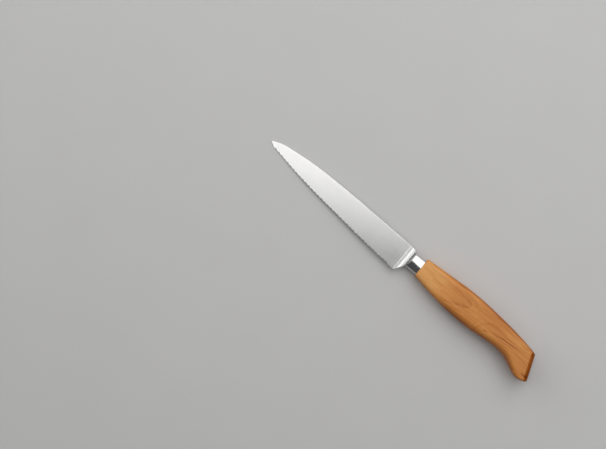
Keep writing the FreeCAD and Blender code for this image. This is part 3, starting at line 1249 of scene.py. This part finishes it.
    def _wheel_place(self, x: float, y: float, radius: float) -> Matrix:
        """Sets the slanted wheel against the right face, so that its scallop ends on the left face.

        Args:
            x: Place of the scallop's middle on the edge, along the knife.
            y: Its height.
            radius: The wheel's radius.

        Returns:
            The wheel's place and turn.
        """
        slant = math.radians(self.serration_angle)
        step = self.slope_step
        down = Vector((0, 0, -1))
        inward = Vector((self.edge.at(x - step) - self.edge.at(x + step), 2 * step, 0)).normalized()
        apex = Vector((x, y, 0)) + inward * (self.serration_inset + self.serration_depth)
        apex.z = self.half_thickness(apex.x, apex.y)
        axis = inward * math.cos(slant) + down * math.sin(slant)
        below = down * math.cos(slant) - inward * math.sin(slant)
        return Matrix.LocRotScale(apex + below * radius, axis.to_track_quat("Z", "Y"), None)

    def _serrate(self, blade: Piece, finish: Finish) -> None:
        """Grinds one scallop after another into the right face.

        Args:
            blade: The ground blade.
            finish: The finish that the wheel leaves.
        """
        places = np.linspace(self.edge_start, self.heel, self.edge_samples)
        heights = np.array([self.edge.at(x) for x in places])
        run = np.concatenate(([0.0], np.cumsum(np.hypot(np.diff(places), np.diff(heights)))))
        length = run[-1] - self.plain_tip - self.plain_heel
        count = int(length / self.serration_pitch)
        drop = self.serration_depth * math.sin(math.radians(self.serration_angle))
        radius = ((self.serration_pitch / 2) ** 2 + drop**2) / (2 * drop)
        wheel = add(
            bpy.ops.mesh.primitive_cylinder_add, vertices=self.wheel_sides, radius=radius, depth=2 * radius
        )
        give(wheel, finish)
        for index in range(count):
            at = self.plain_tip + (index + 0.5) * length / count
            x, y = np.interp(at, run, places), np.interp(at, run, heights)
            wheel.matrix_world = self._wheel_place(x, y, radius)
            work(blade, wheel, Join.CUT)
        bpy.data.objects.remove(wheel)
        LOG.info("%s: %d scallops", blade.name, count)

    def build(self, lines: Tree) -> Piece:
        """Makes the whole forging.

        Args:
            lines: The group of wheel lines.

        Returns:
            The piece, dressed and in its place.
        """
        satin = self.satin.material(lines)
        blade = self._plate()
        give(blade, satin)
        for side in Side:
            grind = self._grind_wheel(side)
            give(grind, satin)
            work_once(blade, grind, Join.CUT)
        ease_edges(blade, self._on_spine_edge, self.spine_ease, self.spine_ease_steps)
        ease_edges(blade, self._on_rim, self.rim_round, self.rim_steps)
        for stem, finish in ((self._neck(), self.polish.material(lines)), (self._tang(0.0, "tang"), satin)):
            give(stem, finish)
            work_once(blade, stem, Join.ADD)
        for station in self.pin_stations:
            work_once(blade, self._bore(station, 2 * self.neck.thickness), Join.CUT)
        self._serrate(blade, self.ground.material(lines))
        self.dress(blade)
        return blade

    def dress(self, blade: Piece) -> None:
        """Shades the forging, sets it in its place and lets it stand for its node.

        Args:
            blade: The finished forging.
        """
        smooth(blade, self.smooth_angle)
        lift(blade, self.middle)
        stand_for(blade, "blade")


# The handle, two scales of one board, and what they hide


@dataclass(frozen=True)
class Station:
    """One cross-section of the handle, in millimetres."""

    along: float  # behind the handle's front
    top: float
    belly: float
    thickness: float
    spine_round: float
    belly_round: float


STATIONS = (
    Station(along=0.0, top=8.1, belly=7.0, thickness=10.4, spine_round=3.2, belly_round=3.2),
    Station(along=20.0, top=9.4, belly=10.3, thickness=14.6, spine_round=4.2, belly_round=4.2),
    Station(along=40.0, top=10.5, belly=12.1, thickness=16.8, spine_round=4.5, belly_round=6.5),
    Station(along=58.0, top=9.9, belly=11.6, thickness=16.8, spine_round=4.5, belly_round=6.5),
    Station(along=76.0, top=8.4, belly=10.1, thickness=16.8, spine_round=4.5, belly_round=6.5),
    Station(along=89.0, top=6.75, belly=12.5, thickness=16.8, spine_round=3.6, belly_round=6.5),
    Station(along=102.2, top=4.2, belly=17.4, thickness=16.8, spine_round=3.6, belly_round=3.6),
    Station(along=114.0, top=0.9, belly=12.0, thickness=16.8, spine_round=3.6, belly_round=3.6),
)


@dataclass
class HandleScales:
    """The two wooden scales, modelled about the middle plane."""

    front: float
    middle: float
    flat: float  # half thickness over the two flats
    side_grain: OliveWood = SIDE_GRAIN
    end_grain: OliveWood = END_GRAIN
    end_lean: float = 0.6  # a face whose normal points to the butt by more than this shows end grain
    smooth_angle: float = 40.0
    stations: tuple[Station, ...] = STATIONS
    length: float = 110.0 * MM  # to the butt's lower corner
    flat_ease: float = 0.4 * MM
    front_round: float = 1.0 * MM
    corner_depth: float = 15.1 * MM
    butt_slant: float = 21.8
    butt_crown: float = 10.0 * MM
    butt_ease: float = 0.8 * MM
    seam_groove: float = 0.1 * MM
    bedding_gap: float = 0.15 * MM
    bore_length: float = 8.8 * MM
    sections: int = 72
    line_steps: int = 5
    side_steps: int = 12
    round_steps: int = 14
    front_steps: int = 6
    butt_steps: int = 3
    cap_shares: tuple[float, ...] = (0.93, 0.8, 0.62, 0.42, 0.2)  # sizes of the rings inside the butt's rim
    lean_rounds: int = 8  # tries that bring a point of a leaning ring to rest on the surface

    def __post_init__(self) -> None:
        """Bends one batten through each size of the stations."""
        self.fairings = []
        for name in ("top", "belly", "thickness", "spine_round", "belly_round"):
            marks = [(station.along * MM, getattr(station, name) * MM) for station in self.stations]
            self.fairings.append(Fairing(marks))
        self.butt = self.front + self.length

    def _ease_flat(self, z: float) -> float:
        """Holds a section to the flat, with a soft edge."""
        near = max(self.flat_ease - abs(z - self.flat), 0.0) / self.flat_ease
        return min(z, self.flat) - near**2 * self.flat_ease / 4

    def _half_section(self, along: float, inset: float) -> list[Span]:
        """Walks round the left half of a cross-section, from the seam at the spine to that at the belly.

        Args:
            along: Where it is cut, behind the handle's front.
            inset: How far it lies inside the handle's surface.

        Returns:
            Heights and half widths.
        """
        top, belly, thickness, spine_round, belly_round = (fairing.at(along) for fairing in self.fairings)
        top, belly, half = top - inset, belly - inset, thickness / 2 - inset
        spine_round, belly_round = spine_round - inset, belly_round - inset
        high, low = top - spine_round, belly_round - belly
        spine_flat, belly_flat = half - spine_round, half - belly_round
        spine_turns = np.linspace(math.pi / 2, 0, self.round_steps, endpoint=False)
        belly_turns = np.linspace(0, -math.pi / 2, self.round_steps, endpoint=False)
        points = [
            (top - self.seam_groove, 0.0),
            *np.linspace((top, self.seam_groove), (top, spine_flat), self.line_steps, endpoint=False),
            *arc((high, spine_flat), spine_round, spine_turns),
            *np.linspace((high, half), (low, half), self.side_steps, endpoint=False),
            *arc((low, belly_flat), belly_round, belly_turns),
            *np.linspace((-belly, belly_flat), (-belly, self.seam_groove), self.line_steps),
            (self.seam_groove - belly, 0.0),
        ]
        return [(y, self._ease_flat(z)) for y, z in points]

    def _butt_place(self, y: float, z: float) -> float:
        """Finds a place on the slanted, crowned butt.

        Args:
            y: Height of the place.
            z: Its distance from the seam.

        Returns:
            Its X.
        """
        slant = math.radians(self.butt_slant)
        sag = self.butt_crown - math.sqrt(self.butt_crown**2 - z**2)
        return self.butt - (y + self.corner_depth) * math.tan(slant) - sag / math.cos(slant)

    def _ring(self, share: float) -> list[Vector]:
        """Gives a ring of the body, which leans more and more until the last one lies on the butt.

        Args:
            share: From 0 behind the eased front to 1 on the butt.

        Returns:
            The ring's points.
        """
        start = self.front + self.front_round
        ring = []
        for index in range(len(self._half_section(0.0, 0.0))):
            x = start + share * (self.butt - start)
            for _ in range(self.lean_rounds):
                y, z = self._half_section(x - self.front, 0.0)[index]
                x = start + share * (self._butt_place(y, z) - start)
            ring.append(Vector((x, y, z)))
        return ring

    def _rings(self) -> list[list[Vector]]:
        """Walks from the front face, round its eased edge and along the body to the butt.

        Returns:
            The rings, in order.
        """
        rings = []
        for turn in np.linspace(0, math.pi / 2, self.front_steps, endpoint=False):
            along = self.front_round * (1 - math.cos(turn))
            section = self._half_section(along, self.front_round * (1 - math.sin(turn)))
            rings.append([Vector((self.front + along, y, z)) for y, z in section])
        return rings + [self._ring(share) for share in np.linspace(0, 1, self.sections)]

    def _caps(self, rim: list[Vector]) -> list[list[Vector]]:
        """Closes the crowned butt inside its rim.

        Args:
            rim: The last ring of the body.

        Returns:
            The rings inside it, from large to small.
        """
        middle = (rim[0].y + rim[-1].y) / 2
        caps = []
        for share in self.cap_shares:
            places = [(middle + (point.y - middle) * share, point.z * share) for point in rim]
            caps.append([Vector((self._butt_place(y, z), y, z)) for y, z in places])
        return caps

    def _left(self) -> Piece:
        """Draws the left scale out of its front face, ring by ring, and eases the butt's rim.

        Returns:
            The scale, without its pocket.
        """
        rings = self._rings()
        scale = add_ring("handle_left", rings[0])
        with editing(scale) as mesh:
            bpy.ops.mesh.select_all(action="SELECT")
            rim = [draw_ring(mesh, outline) for outline in rings[1:]][-1]
            for outline in self._caps(rings[-1]):
                draw_ring(mesh, outline)
            bpy.ops.mesh.select_all(action="DESELECT")
            for first, second in zip(rim, rim[1:]):
                mesh.edges.get((first, second)).select_set(True)
            bpy.ops.mesh.bevel(offset=self.butt_ease, segments=self.butt_steps, affect="EDGES")
            face_outwards()
        return scale

    def _mirrored(self, scale: Piece) -> Piece:
        """Copies the left scale to the other side of the seam.

        Args:
            scale: The left scale.

        Returns:
            The right scale.
        """
        pick(scale)
        bpy.ops.object.duplicate()
        other = bpy.context.object
        other.name = "handle_right"
        with editing(other):
            bpy.ops.mesh.select_all(action="SELECT")
            bpy.ops.transform.mirror(constraint_axis=(False, False, True), center_override=(0, 0, 0))
            face_outwards()
        return other

    def build(self, forging: BladeForging, figure: Tree) -> list[Piece]:
        """Makes both scales.

        Args:
            forging: The blade, whose tang and pins they hold.
            figure: The group of the wood's figure.

        Returns:
            The left and the right scale, dressed and in their places.
        """
        left = self._left()
        for tool in forging.pocket(self.bedding_gap, self.bore_length):
            work_once(left, tool, Join.CUT)
        right = self._mirrored(left)
        finishes = [wood.material(figure) for wood in (self.side_grain, self.end_grain)]
        self.dress(left, finishes, "handle_scale_left")
        self.dress(right, finishes, "handle_scale_right")
        return [left, right]

    def dress(self, scale: Piece, finishes: Sequence[Finish], node: str) -> None:
        """Gives a scale its wood, sets it in its place and lets it stand for its node.

        Args:
            scale: The finished scale.
            finishes: Wood along the grain and across it.
            node: The node that it stands for.
        """
        give(scale, *finishes)
        for face in scale.data.polygons:
            face.material_index = int(face.normal.x > self.end_lean)
        smooth(scale, self.smooth_angle)
        lift(scale, self.middle)
        stand_for(scale, node)


@dataclass(frozen=True)
class HiddenFittings:
    """What the wood hides, the adhesive bed and the two pins, which keep their nodes."""

    bedding: Clouded = RESIN
    bedding_node: str = "tang_bedding"
    pin: Steel = PIN_WIRE
    pin_nodes: tuple[str, str] = ("tang_pin_front", "tang_pin_rear")

    def dress(self, lines: Tree) -> list[Piece]:
        """Gives the nodes their finishes.

        Args:
            lines: The group of wheel lines.

        Returns:
            The nodes' objects.
        """
        finishes = {self.bedding_node: self.bedding.material()}
        finishes |= dict.fromkeys(self.pin_nodes, self.pin.material(lines))
        for node, finish in finishes.items():
            give(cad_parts[node], finish)
        return [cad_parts[node] for node in finishes]


# What the knife lies on, the light and the camera


@dataclass(frozen=True)
class Softbox:
    """One rectangular light."""

    name: str
    place: Triple
    turn: Triple  # from shining straight down, in degrees
    size: Span
    power: float  # in watts

    def hang(self) -> None:
        """Hangs the light in its place."""
        turn = [math.radians(angle) for angle in self.turn]
        light = add(bpy.ops.object.light_add, type="AREA", location=self.place, rotation=turn)
        light.name = self.name
        light.data.shape = "RECTANGLE"
        light.data.size, light.data.size_y = self.size
        light.data.energy = self.power


LIGHTS = (
    Softbox(name="overhead", place=(-0.046, 1.016, 1.3), turn=(0, 0, 23), size=(1.47, 2.0), power=16.0),
    Softbox(name="tip_side", place=(-1.05, 0.0, 1.1), turn=(0, -15, 0), size=(1.1, 1.6), power=4.2),
    Softbox(name="tip_wall", place=(-1.7, 0.2, 0.65), turn=(82, 0, -90), size=(1.8, 1.2), power=8.6),
    Softbox(name="butt_wall", place=(1.2, 0.0, 0.9), turn=(55, 0, 90), size=(1.6, 1.3), power=3.6),
    Softbox(name="spine_wall", place=(-0.2, 2.0, 0.65), turn=(82, 0, 180), size=(2.4, 1.2), power=5.4),
)


@dataclass
class Studio:
    """A pale floor that the knife has tipped onto, soft light from above and three sides, and a camera."""

    tip: float
    tip_clearance: float  # underside of the tip above the handle's flat
    flat_front: float = -10.1 * MM  # front end of the handle's flat, on which the knife tips
    paper: Clouded = PAPER
    floor_size: float = 8.0
    floor_gap: float = 0.05 * MM
    lights: tuple[Softbox, ...] = LIGHTS
    room_colour: Colour = (0.8, 0.82, 0.85)
    room_strength: float = 0.09
    lens: float = 135.0
    sensor: float = 36.0
    view_width: float = 432.7 * MM
    view_centre: Span = (-124.6 * MM, -29.6 * MM)
    view_height: float = 8.0 * MM
    view_turn: float = 39.5

    def _floor(self) -> None:
        """Lays the floor under the tip and the handle's flat."""
        lean = math.atan(self.tip_clearance / (self.flat_front - self.tip))
        floor = add(
            bpy.ops.mesh.primitive_plane_add,
            size=self.floor_size,
            location=(self.flat_front, 0, -self.floor_gap),
            rotation=(0, lean, 0),
        )
        floor.name = "floor"
        give(floor, self.paper.material())

    def _room(self) -> None:
        """Sets the room's own dim light."""
        world = bpy.data.worlds.new("room")
        world.use_nodes = True
        background = world.node_tree.nodes["Background"].inputs
        background["Color"].default_value = (*self.room_colour, OPAQUE)
        background["Strength"].default_value = self.room_strength
        bpy.context.scene.world = world

    def _camera(self) -> None:
        """Hangs the camera straight above, turned as the photograph is."""
        above = self.view_height + self.view_width * self.lens / self.sensor
        camera = add(
            bpy.ops.object.camera_add,
            location=(*self.view_centre, above),
            rotation=(0, 0, math.radians(self.view_turn)),
        )
        camera.data.lens = self.lens
        camera.data.sensor_width = self.sensor
        bpy.context.scene.camera = camera
        bpy.context.scene.view_settings.view_transform = "Standard"

    def build(self) -> None:
        """Sets up the floor, the lights and the camera."""
        self._floor()
        for light in self.lights:
            light.hang()
        self._room()
        self._camera()


def main() -> None:
    """Builds the pieces in order and sets them in the studio."""
    logging.basicConfig(level=logging.INFO, format="%(name)s: %(message)s")
    steel_low, steel_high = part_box("blade")
    scale_low, scale_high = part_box("handle_scale_left")
    middle = scale_low.z
    lines = WheelLines().group()
    figure = OliveFigure(middle=middle / MM).group()
    forging = BladeForging(tip=steel_low.x, handle_front=scale_low.x, tang_end=steel_high.x, middle=middle)
    handle = HandleScales(front=scale_low.x, middle=middle, flat=scale_high.z - middle)
    pieces = [forging.build(lines), *handle.build(forging, figure), *HiddenFittings().dress(lines)]
    for piece in pieces:
        LOG.info("%s: %d faces", piece.name, len(piece.data.polygons))
    Studio(tip=forging.tip, tip_clearance=middle - forging.tip_thickness / 2).build()


if __name__ == "__main__":
    main()
